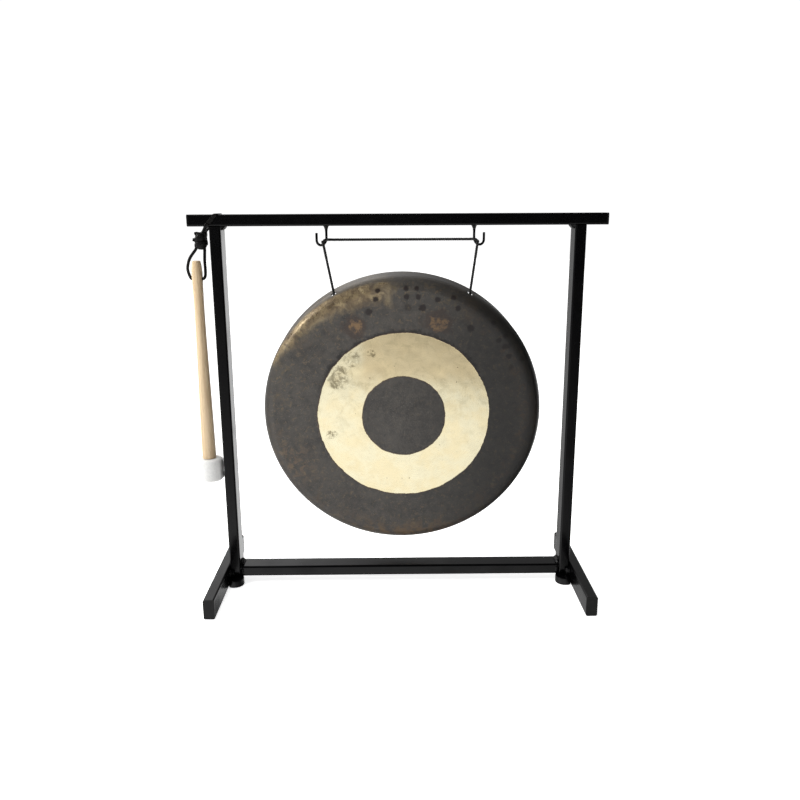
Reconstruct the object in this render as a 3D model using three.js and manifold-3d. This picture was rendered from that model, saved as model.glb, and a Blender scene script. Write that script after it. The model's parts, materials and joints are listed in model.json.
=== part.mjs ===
// Table-top tam tam: a welded stand of rectangular steel tube, a shallow bronze gong slung on a cord
// from two hooks, and a felt-headed mallet hung on a leather lace from the end of the top bar.
// Millimetres, +Z up, +X to the right and +Y away from the player, who faces the gong's striking face.
// Lengths below are measured from the stand's own middle: on the floor, midway between the uprights
// and halfway through their depth. The last step moves the origin under the middle of the whole object.

import * as THREE from 'three';
import { mergeVertices } from 'three/addons/utils/BufferGeometryUtils.js';
import Module from 'manifold-3d';

const wasm = await Module();
wasm.setup();

// ---------------------------------------------------------------- driving dimensions

// Stand
const TUBE_THIN = 12;            // outside size of the tube across its narrow side
const TUBE_WIDE = 22;            // outside size of the tube across its wide side
const TUBE_WALL = 1.5;
const TUBE_CORNER = 2;           // outside corner radius of the tube
const CORNER_STEPS = 3;          // flats that make up each rounded corner
const STAND_WIDTH = 387;         // over the outer faces of the uprights
const STAND_HEIGHT = 410;        // floor to the top of the bar
const BAR_LENGTH = 431;
const RAIL_TOP = 20.5;
const FOOT_FORWARD = 91;         // reach of a foot in front of the stand's middle
const FOOT_BACKWARD = 74;        // reach of a foot behind it
const CAP_PLATE = 2;             // thickness of an end cap's visible plate
const CAP_PLUG = 10;             // length of its plug inside the tube
const CAP_CLEARANCE = 0.3;

// Round glides under the front edge of each upright
const GLIDE_RADIUS = 10.2;
const GLIDE_HEIGHT = 8.2;
const GLIDE_X = 187.7;
const GLIDE_Y = -13;
const GLIDE_GAP = 0.2;           // between a glide and the foot beside it

// Weld beads
const BEAD_LEG = 4.5;            // leg of the fillet welds
const FOOT_BEAD_BOTTOM = 8.6;    // the upright bead that joins each foot to its upright
const FOOT_BEAD_TOP = 17.6;
const FRONT_BEAD_WIDTH = 4;
const FRONT_BEAD_RISE = 0.8;

// Hooks
const WIRE_RADIUS = 1.3;
const HOOKS_MIDDLE_X = 2.2;      // the hooks were welded slightly off centre
const HOOK_SPREAD = 76.6;        // from their middle to each shank
const HOOK_BEND = 5.1;           // bend radius on the wire's centre line
const HOOK_BEND_Z = 383.4;
const HOOK_TIP_Z = 391;
const CONE_HEIGHT = 5.5;
const CONE_RADIUS = 3;
const CONE_LIP = 0.2;            // wall left at the cone's lower edge

// Gong
const GONG_RADIUS = 152.4;       // a 12 inch gong
const GONG_DEPTH = 40;
const GONG_TAPER = 0.5;          // how much smaller the open back edge is, on the radius
const SHOULDER_RADIUS = 14;
const SHEET = 1.3;
const GONG_LEAN = 5;             // degrees, bottom swung away from the player
const GONG_MIDDLE = new THREE.Vector3(3.6, -3.5, 192.6);
const HOLE_ANGLE = 28.2;         // degrees from the top of the gong to each hole
const HOLE_STATION = 75;         // degrees round the shoulder, from the face to the rim
const HOLE_RADIUS = 3.4;

// Cord
const CORD_RADIUS = 1.4;
const CORD_TO_WIRE = 3;          // between the centre lines of the cord and the hook wire
const CORD_SPAN_Z = 383.7;
const STRAND_SPREAD = 79.9;      // from the hooks' middle to the top of each strand
const STRAND_TOP_Z = 381;
const STRAND_INSIDE = 5;         // length of strand beyond the hole
const KNOT_LENGTH = 7;
const KNOT_RADIUS = 4;
const KNOT_X = 24;

// Mallet and its lace
const MALLET_X = -210.9;
const HANDLE_TOP = 363;
const HANDLE_TIP_RADIUS = 4.4;
const HANDLE_TIP_ROUNDING = 2;
const HANDLE_COLLAR = { radius: 5.7, z: 350 };   // the swelling round the lace hole
const HANDLE_WAIST = { radius: 5.3, z: 301 };
const HANDLE_SWELL = { radius: 7.4, z: 168 };    // the thick end, just above the head
const HANDLE_FOOT_RADIUS = 7.6;
const HANDLE_HOLE_Z = 343.9;
const HANDLE_HOLE_RADIUS = 2;
const HEAD_BOTTOM = 122;
const HEAD_TOP = 147.6;
const HEAD_RADIUS = 15;
const HEAD_ROUNDING = 3;
const CORE_RADIUS = 10;
const FELT_END_THICKNESS = 2.7;
const TENON_RADIUS = 4.5;
const FIT_GAP = 0.3;
const LACE_RADIUS = 1.2;
const WRAP_WIDTH = 4;
const WRAP_THICKNESS = 1;
const WRAP_GAP = 0.3;
const WRAP_X = -196.4;           // middle of the wrap where it passes under the bar
const WRAP_SLANT = 0.85;         // sideways run of the wrap for each millimetre it climbs
const LACE_KNOT = new THREE.Vector3(-204.2, 0, 384);
const LACE_KNOT_SIZE = new THREE.Vector3(6.9, 6, 9.6);
const LOOP_HALF_WIDTH = 9.9;
const LOOP_WIDEST = 9.8;         // height of the widest point above the hole
const LOOP_TOP = 28.6;           // height of the loop's ends above the hole

// ---------------------------------------------------------------- derived places

const barUnderside = STAND_HEIGHT - TUBE_THIN;
const railBottom = RAIL_TOP - TUBE_THIN;
const uprightX = (STAND_WIDTH - TUBE_THIN) / 2;
const uprightInnerX = STAND_WIDTH / 2 - TUBE_THIN;
const footInnerX = STAND_WIDTH / 2;
const frontFaceY = -TUBE_WIDE / 2;
const lean = THREE.MathUtils.degToRad(GONG_LEAN);

// ---------------------------------------------------------------- materials

function finish(color, roughness, metalness) {
  return new THREE.MeshStandardMaterial({ color, roughness, metalness });
}

const blackPaint = finish(0x131316, 0.28, 0.1);
const blackPlastic = finish(0x18181a, 0.45, 0.0);
const bronze = finish(0x5b5348, 0.45, 0.85);
const blackCord = finish(0x0c0b0b, 0.8, 0.0);
const blackLeather = finish(0x141112, 0.6, 0.0);
const paleWood = finish(0xdcbb8b, 0.5, 0.0);
const greyWood = finish(0xb99a70, 0.7, 0.0);
const whiteFelt = finish(0xf1efe9, 0.95, 0.0);

// ---------------------------------------------------------------- solids

// Turns a closed three.js geometry into a solid: merges its corners, drops the slivers that lie on
// an axis of revolution, and turns it inside out if its faces point inwards.
function solid(geometry) {
  const bare = geometry.clone();
  bare.deleteAttribute('normal');
  bare.deleteAttribute('uv');
  const merged = mergeVertices(bare, 1e-4);
  const place = merged.attributes.position;
  const corner = (i) => new THREE.Vector3().fromBufferAttribute(place, i);
  const kept = [];
  let volume = 0;
  for (let i = 0; i < merged.index.count; i += 3) {
    const [a, b, c] = [0, 1, 2].map((k) => merged.index.getX(i + k));
    if (a === b || b === c || c === a) continue;
    kept.push([a, b, c]);
    volume += corner(a).dot(corner(b).cross(corner(c)));
  }
  const triangles = volume > 0 ? kept : kept.map(([a, b, c]) => [a, c, b]);
  return new wasm.Manifold(new wasm.Mesh({
    numProp: 3,
    vertProperties: new Float32Array(place.array),
    triVerts: new Uint32Array(triangles.flat()),
  }));
}

function toGeometry(body) {
  const mesh = body.getMesh();
  const geometry = new THREE.BufferGeometry();
  geometry.setAttribute('position', new THREE.BufferAttribute(mesh.vertProperties, 3));
  geometry.setIndex(new THREE.BufferAttribute(mesh.triVerts, 1));
  geometry.computeVertexNormals();
  return geometry;
}

const cut = (body, tool) => toGeometry(solid(body).subtract(solid(tool)));
const join = (...bodies) => toGeometry(bodies.map(solid).reduce((sum, next) => sum.add(next)));
const closed = (geometry) => toGeometry(solid(geometry));

// A rounded rectangle centred on the origin, as a Shape or, for a hole, as a Path.
function roundedRectangle(width, height, radius, Kind = THREE.Shape) {
  const x = width / 2 - radius;
  const y = height / 2 - radius;
  const quarter = Math.PI / 2;
  const outline = new Kind();
  outline.absarc(x, y, radius, 0, quarter);
  outline.absarc(-x, y, radius, quarter, 2 * quarter);
  outline.absarc(-x, -y, radius, 2 * quarter, 3 * quarter);
  outline.absarc(x, -y, radius, 3 * quarter, 4 * quarter);
  outline.closePath();
  return outline;
}

// A prism of a shape, centred on its length along Z.
function prism(shape, length, curveSegments = 1) {
  const geometry = new THREE.ExtrudeGeometry(shape, { depth: length, bevelEnabled: false, curveSegments });
  return geometry.translate(0, 0, -length / 2);
}

// A length of the stand's tube along Z, narrow across X and wide across Y.
function tubeStock(length) {
  const section = roundedRectangle(TUBE_THIN, TUBE_WIDE, TUBE_CORNER);
  const bore = roundedRectangle(
    TUBE_THIN - 2 * TUBE_WALL,
    TUBE_WIDE - 2 * TUBE_WALL,
    TUBE_CORNER - TUBE_WALL,
    THREE.Path,
  );
  section.holes.push(bore);
  return prism(section, length, CORNER_STEPS);
}

// The two ways the stock is laid down: along X with its narrow side upright, or along Y on its edge.
const alongX = (geometry) => geometry.rotateY(Math.PI / 2);
const alongY = (geometry) => geometry.rotateX(Math.PI / 2);

// An end cap for the tube: its plate faces +Z and its plug reaches down into the tube.
function endCap() {
  const slack = 2 * (TUBE_WALL + CAP_CLEARANCE);
  const plate = prism(roundedRectangle(TUBE_THIN, TUBE_WIDE, TUBE_CORNER), CAP_PLATE, CORNER_STEPS);
  const plugShape = roundedRectangle(TUBE_THIN - slack, TUBE_WIDE - slack, TUBE_WALL / 2);
  const plug = prism(plugShape, CAP_PLUG + CAP_PLATE / 2);
  plug.translate(0, 0, -CAP_PLUG / 2 - CAP_PLATE / 4);
  return join(plate.translate(0, 0, CAP_PLATE / 2), plug);
}

// A round bar swept along a curve.
function sweep(curve, radius, steps) {
  const circle = new THREE.Shape();
  circle.absarc(0, 0, radius, 0, 2 * Math.PI);
  const geometry = new THREE.ExtrudeGeometry(circle, { steps, extrudePath: curve, curveSegments: 5 });
  return closed(geometry);
}

// A straight round bar between two points.
const rod = (from, to, radius) => sweep(new THREE.LineCurve3(from, to), radius, 1);

// A body turned about Z from [radius, height] pairs.
function turned(profile, sides) {
  const points = profile.map(([radius, height]) => new THREE.Vector2(radius, height));
  return new THREE.LatheGeometry(points, sides).rotateX(Math.PI / 2);
}

// Points of a circular arc as [first, second] pairs, angles in degrees.
function arc(centre, radius, from, to, steps) {
  return Array.from({ length: steps + 1 }, (_, i) => {
    const angle = THREE.MathUtils.degToRad(from + ((to - from) * i) / steps);
    return [centre[0] + radius * Math.cos(angle), centre[1] + radius * Math.sin(angle)];
  });
}

// ---------------------------------------------------------------- the assembly

const model = new THREE.Group();

function place(name, geometry, material, x = 0, y = 0, z = 0) {
  const mesh = new THREE.Mesh(geometry, material);
  mesh.name = name;
  mesh.position.set(x, y, z);
  model.add(mesh);
}

const SIDES = [['left', -1], ['right', 1]];

// ---------------------------------------------------------------- stand

function buildTopBar() {
  const length = BAR_LENGTH - 2 * CAP_PLATE;
  const z = STAND_HEIGHT - TUBE_THIN / 2;
  place('top_bar', alongX(tubeStock(length)), blackPaint, 0, 0, z);
  for (const [side, sign] of SIDES) {
    const cap = endCap().rotateY((sign * Math.PI) / 2);
    place(`top_bar_cap_${side}`, cap, blackPlastic, (sign * length) / 2, 0, z);
  }
}

function buildUprightsAndRail() {
  const height = barUnderside - railBottom;
  for (const [side, sign] of SIDES) {
    place(`upright_${side}`, tubeStock(height), blackPaint, sign * uprightX, 0, railBottom + height / 2);
  }
  place('lower_rail', alongX(tubeStock(2 * uprightInnerX)), blackPaint, 0, 0, RAIL_TOP - TUBE_THIN / 2);
}

function buildFeet() {
  const length = FOOT_FORWARD + FOOT_BACKWARD - 2 * CAP_PLATE;
  const middle = (FOOT_BACKWARD - FOOT_FORWARD) / 2;
  for (const [side, sign] of SIDES) {
    const x = sign * (footInnerX + TUBE_THIN / 2);
    place(`foot_${side}`, alongY(tubeStock(length)), blackPaint, x, middle, TUBE_WIDE / 2);
    const frontCap = endCap().rotateX(Math.PI / 2);
    const rearCap = endCap().rotateX(-Math.PI / 2);
    place(`foot_cap_${side}_front`, frontCap, blackPlastic, x, middle - length / 2, TUBE_WIDE / 2);
    place(`foot_cap_${side}_rear`, rearCap, blackPlastic, x, middle + length / 2, TUBE_WIDE / 2);
  }
}

// A round pad under the front edge of each upright, cut flat where it meets the foot.
function buildGlides() {
  const pad = turned([[0, 0], [GLIDE_RADIUS, 0], [GLIDE_RADIUS, GLIDE_HEIGHT], [0, GLIDE_HEIGHT]], 40);
  const toCut = footInnerX - GLIDE_GAP - GLIDE_X;
  for (const [side, sign] of SIDES) {
    const footSide = new THREE.BoxGeometry(GLIDE_RADIUS * 2, GLIDE_RADIUS * 4, GLIDE_HEIGHT * 4);
    footSide.translate(sign * (toCut + GLIDE_RADIUS), 0, 0);
    place(`corner_glide_${side}`, cut(pad, footSide), blackPaint, sign * GLIDE_X, GLIDE_Y, 0);
  }
}

// A triangular fillet bead along Y. Its corner faces the middle of the stand on the side that sign
// names, and the bead rises (up 1) or hangs (up -1) from the horizontal wall.
function filletBead(sign, up) {
  const corner = new THREE.Shape();
  corner.moveTo(0, 0);
  corner.lineTo(-sign * BEAD_LEG, 0);
  corner.lineTo(0, up * BEAD_LEG);
  corner.closePath();
  return alongY(prism(corner, TUBE_WIDE - 2 * TUBE_CORNER));
}

// A triangular fillet bead along Z, in the corner between an upright's front face and its foot.
function footBead(sign) {
  const corner = new THREE.Shape();
  corner.moveTo(0, 0);
  corner.lineTo(-sign * BEAD_LEG, 0);
  corner.lineTo(0, -BEAD_LEG);
  corner.closePath();
  return prism(corner, FOOT_BEAD_TOP - FOOT_BEAD_BOTTOM);
}

function buildWelds() {
  for (const [side, sign] of SIDES) {
    const x = sign * uprightInnerX;
    place(`bar_weld_${side}`, closed(filletBead(sign, -1)), blackPaint, x, 0, barUnderside);
    place(`rail_weld_${side}`, closed(filletBead(sign, 1)), blackPaint, x, 0, RAIL_TOP);
    const frontBead = new THREE.BoxGeometry(FRONT_BEAD_WIDTH, FRONT_BEAD_RISE, TUBE_THIN - 2 * TUBE_CORNER);
    const frontX = x - (sign * FRONT_BEAD_WIDTH) / 2;
    const frontY = frontFaceY - FRONT_BEAD_RISE / 2;
    place(`rail_front_weld_${side}`, closed(frontBead), blackPaint, frontX, frontY, RAIL_TOP - TUBE_THIN / 2);
    const footBeadZ = (FOOT_BEAD_BOTTOM + FOOT_BEAD_TOP) / 2;
    place(`foot_weld_${side}`, closed(footBead(sign)), blackPaint, sign * footInnerX, frontFaceY, footBeadZ);
  }
}

// A wire hook: straight shank, half-round bend opening upwards on the outer side, short straight tip.
class HookCurve extends THREE.Curve {
  constructor(sign) {
    super();
    this.sign = sign;
    this.shank = barUnderside - HOOK_BEND_Z;
    this.bend = Math.PI * HOOK_BEND;
    this.length = this.shank + this.bend + HOOK_TIP_Z - HOOK_BEND_Z;
  }

  getPoint(t, target = new THREE.Vector3()) {
    const run = t * this.length;
    if (run < this.shank) return target.set(0, 0, barUnderside - run);
    if (run > this.shank + this.bend) {
      return target.set(this.sign * 2 * HOOK_BEND, 0, HOOK_BEND_Z + run - this.shank - this.bend);
    }
    const angle = (run - this.shank) / HOOK_BEND;
    const x = this.sign * HOOK_BEND * (1 - Math.cos(angle));
    return target.set(x, 0, HOOK_BEND_Z - HOOK_BEND * Math.sin(angle));
  }
}

function buildHooks() {
  const bore = WIRE_RADIUS + FIT_GAP / 2;
  const lipRadius = bore + CONE_LIP;
  const cone = [
    [bore, -CONE_HEIGHT],
    [bore, 0],
    [CONE_RADIUS, 0],
    [lipRadius, -CONE_HEIGHT],
    [bore, -CONE_HEIGHT],
  ];
  for (const [side, sign] of SIDES) {
    const x = HOOKS_MIDDLE_X + sign * HOOK_SPREAD;
    place(`hook_${side}`, sweep(new HookCurve(sign), WIRE_RADIUS, 20), blackPaint, x, 0, 0);
    place(`hook_weld_${side}`, closed(turned(cone, 16)), blackPaint, x, 0, barUnderside);
  }
}

// ---------------------------------------------------------------- gong

// The gong is turned about Y: its first coordinate is the radius, its second the depth behind the face.
// Face and shoulder outside, then the rim, then the same line one sheet thickness further in.
function buildGong() {
  const outerArc = arc([GONG_RADIUS - SHOULDER_RADIUS, SHOULDER_RADIUS], SHOULDER_RADIUS, -90, 0, 8);
  const innerArc = arc([GONG_RADIUS - SHOULDER_RADIUS, SHOULDER_RADIUS], SHOULDER_RADIUS - SHEET, 0, -90, 8);
  const backRadius = GONG_RADIUS - GONG_TAPER;
  const backEdge = [[backRadius, GONG_DEPTH], [backRadius - SHEET, GONG_DEPTH]];
  const profile = [[0, 0], ...outerArc, ...backEdge, ...innerArc, [0, SHEET]];
  const points = profile.map(([radius, depth]) => new THREE.Vector2(radius, depth));
  const shell = new THREE.LatheGeometry(points, 80);
  const drills = SIDES.map(([, sign]) => {
    const { point, normal } = holeInGong(sign);
    const drill = new THREE.CylinderGeometry(HOLE_RADIUS, HOLE_RADIUS, 8 * SHEET, 16);
    drill.applyQuaternion(new THREE.Quaternion().setFromUnitVectors(new THREE.Vector3(0, 1, 0), normal));
    return drill.translate(point.x, point.y, point.z);
  });
  const gong = drills.reduce(cut, shell).rotateX(lean);
  place('gong', gong, bronze, GONG_MIDDLE.x, GONG_MIDDLE.y, GONG_MIDDLE.z);
}

// A cord hole's centre on the outer skin and the skin's normal there, in the gong's own frame.
function holeInGong(sign) {
  const station = THREE.MathUtils.degToRad(HOLE_STATION);
  const angle = THREE.MathUtils.degToRad(HOLE_ANGLE);
  const radius = GONG_RADIUS - SHOULDER_RADIUS * (1 - Math.sin(station));
  const depth = SHOULDER_RADIUS * (1 - Math.cos(station));
  const outward = new THREE.Vector3(sign * Math.sin(angle), 0, Math.cos(angle));
  const normal = outward.clone().multiplyScalar(Math.sin(station));
  normal.y = -Math.cos(station);
  return { point: outward.multiplyScalar(radius).setY(depth), normal };
}

// The same hole's centre in the stand's frame.
function holePlace(sign) {
  return holeInGong(sign).point.applyAxisAngle(new THREE.Vector3(1, 0, 0), lean).add(GONG_MIDDLE);
}

// ---------------------------------------------------------------- cord

// One cord: across the hooks behind their shanks, down in front of them, in through the holes and
// across the inside of the gong, where its ends are knotted together.
function buildCord() {
  const topX = SIDES.map(([, sign]) => HOOKS_MIDDLE_X + sign * STRAND_SPREAD);
  const spanStart = new THREE.Vector3(topX[0] - 1, CORD_TO_WIRE, CORD_SPAN_Z);
  const spanEnd = new THREE.Vector3(topX[1] + 1, CORD_TO_WIRE, CORD_SPAN_Z);
  place('cord_top_span', rod(spanStart, spanEnd, CORD_RADIUS), blackCord);

  const ends = SIDES.map(([side, sign], i) => {
    const top = new THREE.Vector3(topX[i], -CORD_TO_WIRE, STRAND_TOP_Z);
    const hole = holePlace(sign);
    const along = hole.clone().sub(top).normalize();
    const end = hole.clone().addScaledVector(along, STRAND_INSIDE);
    place(`cord_strand_${side}`, rod(top, end, CORD_RADIUS), blackCord);
    return end;
  });

  const spanZ = ends[0].z - 2 * CORD_RADIUS - FIT_GAP;
  const from = new THREE.Vector3(ends[0].x, ends[0].y, spanZ);
  const to = new THREE.Vector3(ends[1].x, ends[1].y, spanZ);
  place('cord_back_span', rod(from, to, CORD_RADIUS), blackCord);

  const bore = CORD_RADIUS + FIT_GAP;
  const half = KNOT_LENGTH / 2;
  const body = arc([KNOT_RADIUS - half, 0], half, -60, 60, 6);
  const knot = turned([[bore, body[0][1]], ...body, [bore, body.at(-1)[1]], [bore, body[0][1]]], 14);
  place('cord_knot', closed(knot.rotateY(Math.PI / 2)), blackCord, KNOT_X, ends[0].y, spanZ);
}

// ---------------------------------------------------------------- mallet

function buildMallet() {
  const tenonEnd = HEAD_BOTTOM + 2 * FELT_END_THICKNESS;
  const shoulder = HEAD_TOP + FIT_GAP;
  const tipCorner = [HANDLE_TIP_RADIUS - HANDLE_TIP_ROUNDING, HANDLE_TOP - HANDLE_TIP_ROUNDING];
  const handle = turned([
    [0, tenonEnd],
    [TENON_RADIUS, tenonEnd],
    [TENON_RADIUS, shoulder],
    [HANDLE_FOOT_RADIUS, shoulder],
    [HANDLE_SWELL.radius, HANDLE_SWELL.z],
    [HANDLE_WAIST.radius, HANDLE_WAIST.z],
    [HANDLE_COLLAR.radius, HANDLE_COLLAR.z],
    ...arc(tipCorner, HANDLE_TIP_ROUNDING, 0, 90, 4),
    [0, HANDLE_TOP],
  ], 20);
  const drill = new THREE.CylinderGeometry(HANDLE_HOLE_RADIUS, HANDLE_HOLE_RADIUS, 4 * TENON_RADIUS, 12);
  drill.rotateZ(Math.PI / 2).translate(0, 0, HANDLE_HOLE_Z);
  place('mallet_handle', cut(handle, drill), paleWood, MALLET_X, 0, 0);

  const coreBottom = HEAD_BOTTOM + FELT_END_THICKNESS + FIT_GAP;
  const coreTop = HEAD_TOP - FELT_END_THICKNESS - FIT_GAP;
  const boreRadius = TENON_RADIUS + FIT_GAP;
  const boreBottom = tenonEnd - FIT_GAP;
  const core = turned([
    [0, coreBottom],
    [CORE_RADIUS, coreBottom],
    [CORE_RADIUS, coreTop],
    [boreRadius, coreTop],
    [boreRadius, boreBottom],
    [0, boreBottom],
  ], 24);
  place('mallet_core', closed(core), greyWood, MALLET_X, 0, 0);

  const edge = HEAD_RADIUS - HEAD_ROUNDING;
  const felt = turned([
    [0, HEAD_BOTTOM],
    ...arc([edge, HEAD_BOTTOM + HEAD_ROUNDING], HEAD_ROUNDING, -90, 0, 4),
    ...arc([edge, HEAD_TOP - HEAD_ROUNDING], HEAD_ROUNDING, 0, 90, 4),
    [boreRadius, HEAD_TOP],
    [boreRadius, coreTop + FIT_GAP],
    [CORE_RADIUS + FIT_GAP, coreTop + FIT_GAP],
    [CORE_RADIUS + FIT_GAP, coreBottom - FIT_GAP],
    [0, coreBottom - FIT_GAP],
  ], 32);
  place('mallet_felt', closed(felt), whiteFelt, MALLET_X, 0, 0);
}

// The lace: a slanting wrap round the bar, a knot under it, and a teardrop loop through the handle.
function buildLace() {
  const innerHeight = TUBE_THIN + 2 * WRAP_GAP;
  const innerDepth = TUBE_WIDE + 2 * WRAP_GAP;
  const thick = 2 * WRAP_THICKNESS;
  const ring = roundedRectangle(innerHeight + thick, innerDepth + thick, TUBE_CORNER + WRAP_THICKNESS);
  ring.holes.push(roundedRectangle(innerHeight, innerDepth, TUBE_CORNER, THREE.Path));
  const slant = new THREE.Matrix4().makeShear(0, 0, 0, 0, WRAP_SLANT, 0);
  const wrap = alongX(prism(ring, WRAP_WIDTH)).applyMatrix4(slant);
  const wrapMiddleX = WRAP_X + (WRAP_SLANT * innerHeight) / 2;
  place('lace_wrap', closed(wrap), blackLeather, wrapMiddleX, 0, STAND_HEIGHT - TUBE_THIN / 2);

  const knot = new THREE.SphereGeometry(1, 18, 12);
  knot.scale(LACE_KNOT_SIZE.x, LACE_KNOT_SIZE.y, LACE_KNOT_SIZE.z);
  place('lace_knot', closed(knot), blackLeather, LACE_KNOT.x, LACE_KNOT.y, LACE_KNOT.z);

  // The loop's middle runs straight through the handle, its sides belly out, and its ends meet the knot.
  const at = (x, z) => new THREE.Vector3(MALLET_X + x, 0, HANDLE_HOLE_Z + z);
  const side = (sign) => [
    at(sign * LOOP_HALF_WIDTH * 0.55, LOOP_WIDEST * 0.02),
    at(sign * LOOP_HALF_WIDTH * 0.86, LOOP_WIDEST * 0.25),
    at(sign * LOOP_HALF_WIDTH, LOOP_WIDEST),
  ];
  const knotMiddle = LACE_KNOT.x - MALLET_X;
  const endOffset = LACE_KNOT_SIZE.x / 3;
  const leftEnd = [at(knotMiddle - LOOP_HALF_WIDTH, LOOP_TOP * 0.8), at(knotMiddle - endOffset, LOOP_TOP)];
  const rightEnd = at(knotMiddle + endOffset, LOOP_TOP);
  const loop = new THREE.CatmullRomCurve3([
    ...[...side(-1), ...leftEnd].reverse(),
    at(0, 0),
    ...side(1),
    rightEnd,
  ]);
  place('mallet_loop', sweep(loop, LACE_RADIUS, 32), blackLeather);
}

buildTopBar();
buildUprightsAndRail();
buildFeet();
buildGlides();
buildWelds();
buildHooks();
buildGong();
buildCord();
buildMallet();
buildLace();

// Moves the origin to the floor under the middle of the whole object's bounding box.
const middle = new THREE.Box3().setFromObject(model).getCenter(new THREE.Vector3());
model.position.set(-middle.x, -middle.y, 0);

export default model;
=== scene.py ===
"""Looks for the table-top tam tam: a glossy welded tube stand, a fire-scaled bronze gong slung on a
twisted cord, and a felt-headed mallet on a leather lace. Metres, in the frame's own axes."""

import json
import math

import bmesh
import bpy
from mathutils import Matrix, Vector, noise


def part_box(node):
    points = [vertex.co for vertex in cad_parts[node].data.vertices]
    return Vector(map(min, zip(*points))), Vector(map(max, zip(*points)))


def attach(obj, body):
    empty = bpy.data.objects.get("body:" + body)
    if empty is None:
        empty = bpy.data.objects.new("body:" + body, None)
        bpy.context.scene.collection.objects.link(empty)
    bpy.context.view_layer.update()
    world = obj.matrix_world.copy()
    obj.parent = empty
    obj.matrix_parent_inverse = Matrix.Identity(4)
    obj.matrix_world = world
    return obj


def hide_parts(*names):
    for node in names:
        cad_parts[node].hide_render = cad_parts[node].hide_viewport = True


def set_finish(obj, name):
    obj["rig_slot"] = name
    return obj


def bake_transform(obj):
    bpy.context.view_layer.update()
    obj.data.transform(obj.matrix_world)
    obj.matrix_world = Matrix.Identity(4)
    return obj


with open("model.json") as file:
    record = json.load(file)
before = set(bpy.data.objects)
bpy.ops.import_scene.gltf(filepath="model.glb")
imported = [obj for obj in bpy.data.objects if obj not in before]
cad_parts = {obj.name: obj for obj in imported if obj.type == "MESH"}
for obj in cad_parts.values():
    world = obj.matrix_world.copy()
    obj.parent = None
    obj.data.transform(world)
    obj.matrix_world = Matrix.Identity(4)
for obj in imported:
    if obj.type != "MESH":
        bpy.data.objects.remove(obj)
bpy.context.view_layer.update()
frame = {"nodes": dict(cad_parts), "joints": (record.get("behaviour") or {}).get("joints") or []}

MM = 0.001


def mm(x, y, z):
    """A vector given in millimetres."""
    return Vector((x, y, z)) * MM


# ---- places taken from the frame


def middle_of(node):
    low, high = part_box(node)
    return (low + high) / 2


def hinge_at(joint):
    return Vector(next(j for j in frame["joints"] if j["name"] == joint)["pos_m"])


STAND = Vector((middle_of("lower_rail").x, middle_of("lower_rail").y, 0.0))
BAR_LOW, BAR_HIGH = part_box("top_bar")
RAIL_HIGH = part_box("lower_rail")[1]
SIDES = (("left", -1), ("right", 1))

# The gong's own shape, which its box alone doesn't give.
LEAN = math.radians(5)
SHOULDER = 14 * MM
SHEET = 1.3 * MM
GONG_DEPTH = 40 * MM
TAPER = 0.5 * MM
HOLE_ANGLE = math.radians(28.2)
HOLE_STATION = math.radians(75)
HOLE_RADIUS = 3.4 * MM
GONG_LOW, GONG_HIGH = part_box("gong")
GONG_RADIUS = (GONG_HIGH.x - GONG_LOW.x) / 2
GONG_CENTRE = Vector((
    (GONG_HIGH.x + GONG_LOW.x) / 2,
    GONG_LOW.y + (GONG_RADIUS - SHOULDER) * math.sin(LEAN),
    GONG_HIGH.z - SHOULDER * math.sin(LEAN) - GONG_RADIUS * math.cos(LEAN),
))
GONG_PLACE = Matrix.Translation(GONG_CENTRE) @ Matrix.Rotation(LEAN, 4, "X")

# ---- node materials


class Value:
    """What a node works out. Sums, products and ramps of values add more nodes."""

    def __init__(self, graph, socket):
        self.graph = graph
        self.socket = socket

    def __add__(self, other):
        return self.graph.calc("ADD", self, other)

    def __sub__(self, other):
        return self.graph.calc("SUBTRACT", self, other)

    def __rsub__(self, other):
        return self.graph.calc("SUBTRACT", other, self)

    def __mul__(self, other):
        return self.graph.calc("MULTIPLY", self, other)

    def __truediv__(self, other):
        return self.graph.calc("DIVIDE", self, other)

    def ramp(self, start, end, low=0.0, high=1.0):
        """low before start, high after end, and a smooth rise between. start may be above end."""
        if start > end:
            start, end, low, high = end, start, high, low
        inputs = {"Value": self, "From Min": start, "From Max": end, "To Min": low, "To Max": high}
        return self.graph.node("ShaderNodeMapRange", inputs, interpolation_type="SMOOTHSTEP")

    def band(self, low, high, edge):
        """1 where the value lies between low and high, 0 outside."""
        return self.ramp(low - edge, low + edge) * self.ramp(high + edge, high - edge)


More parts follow.
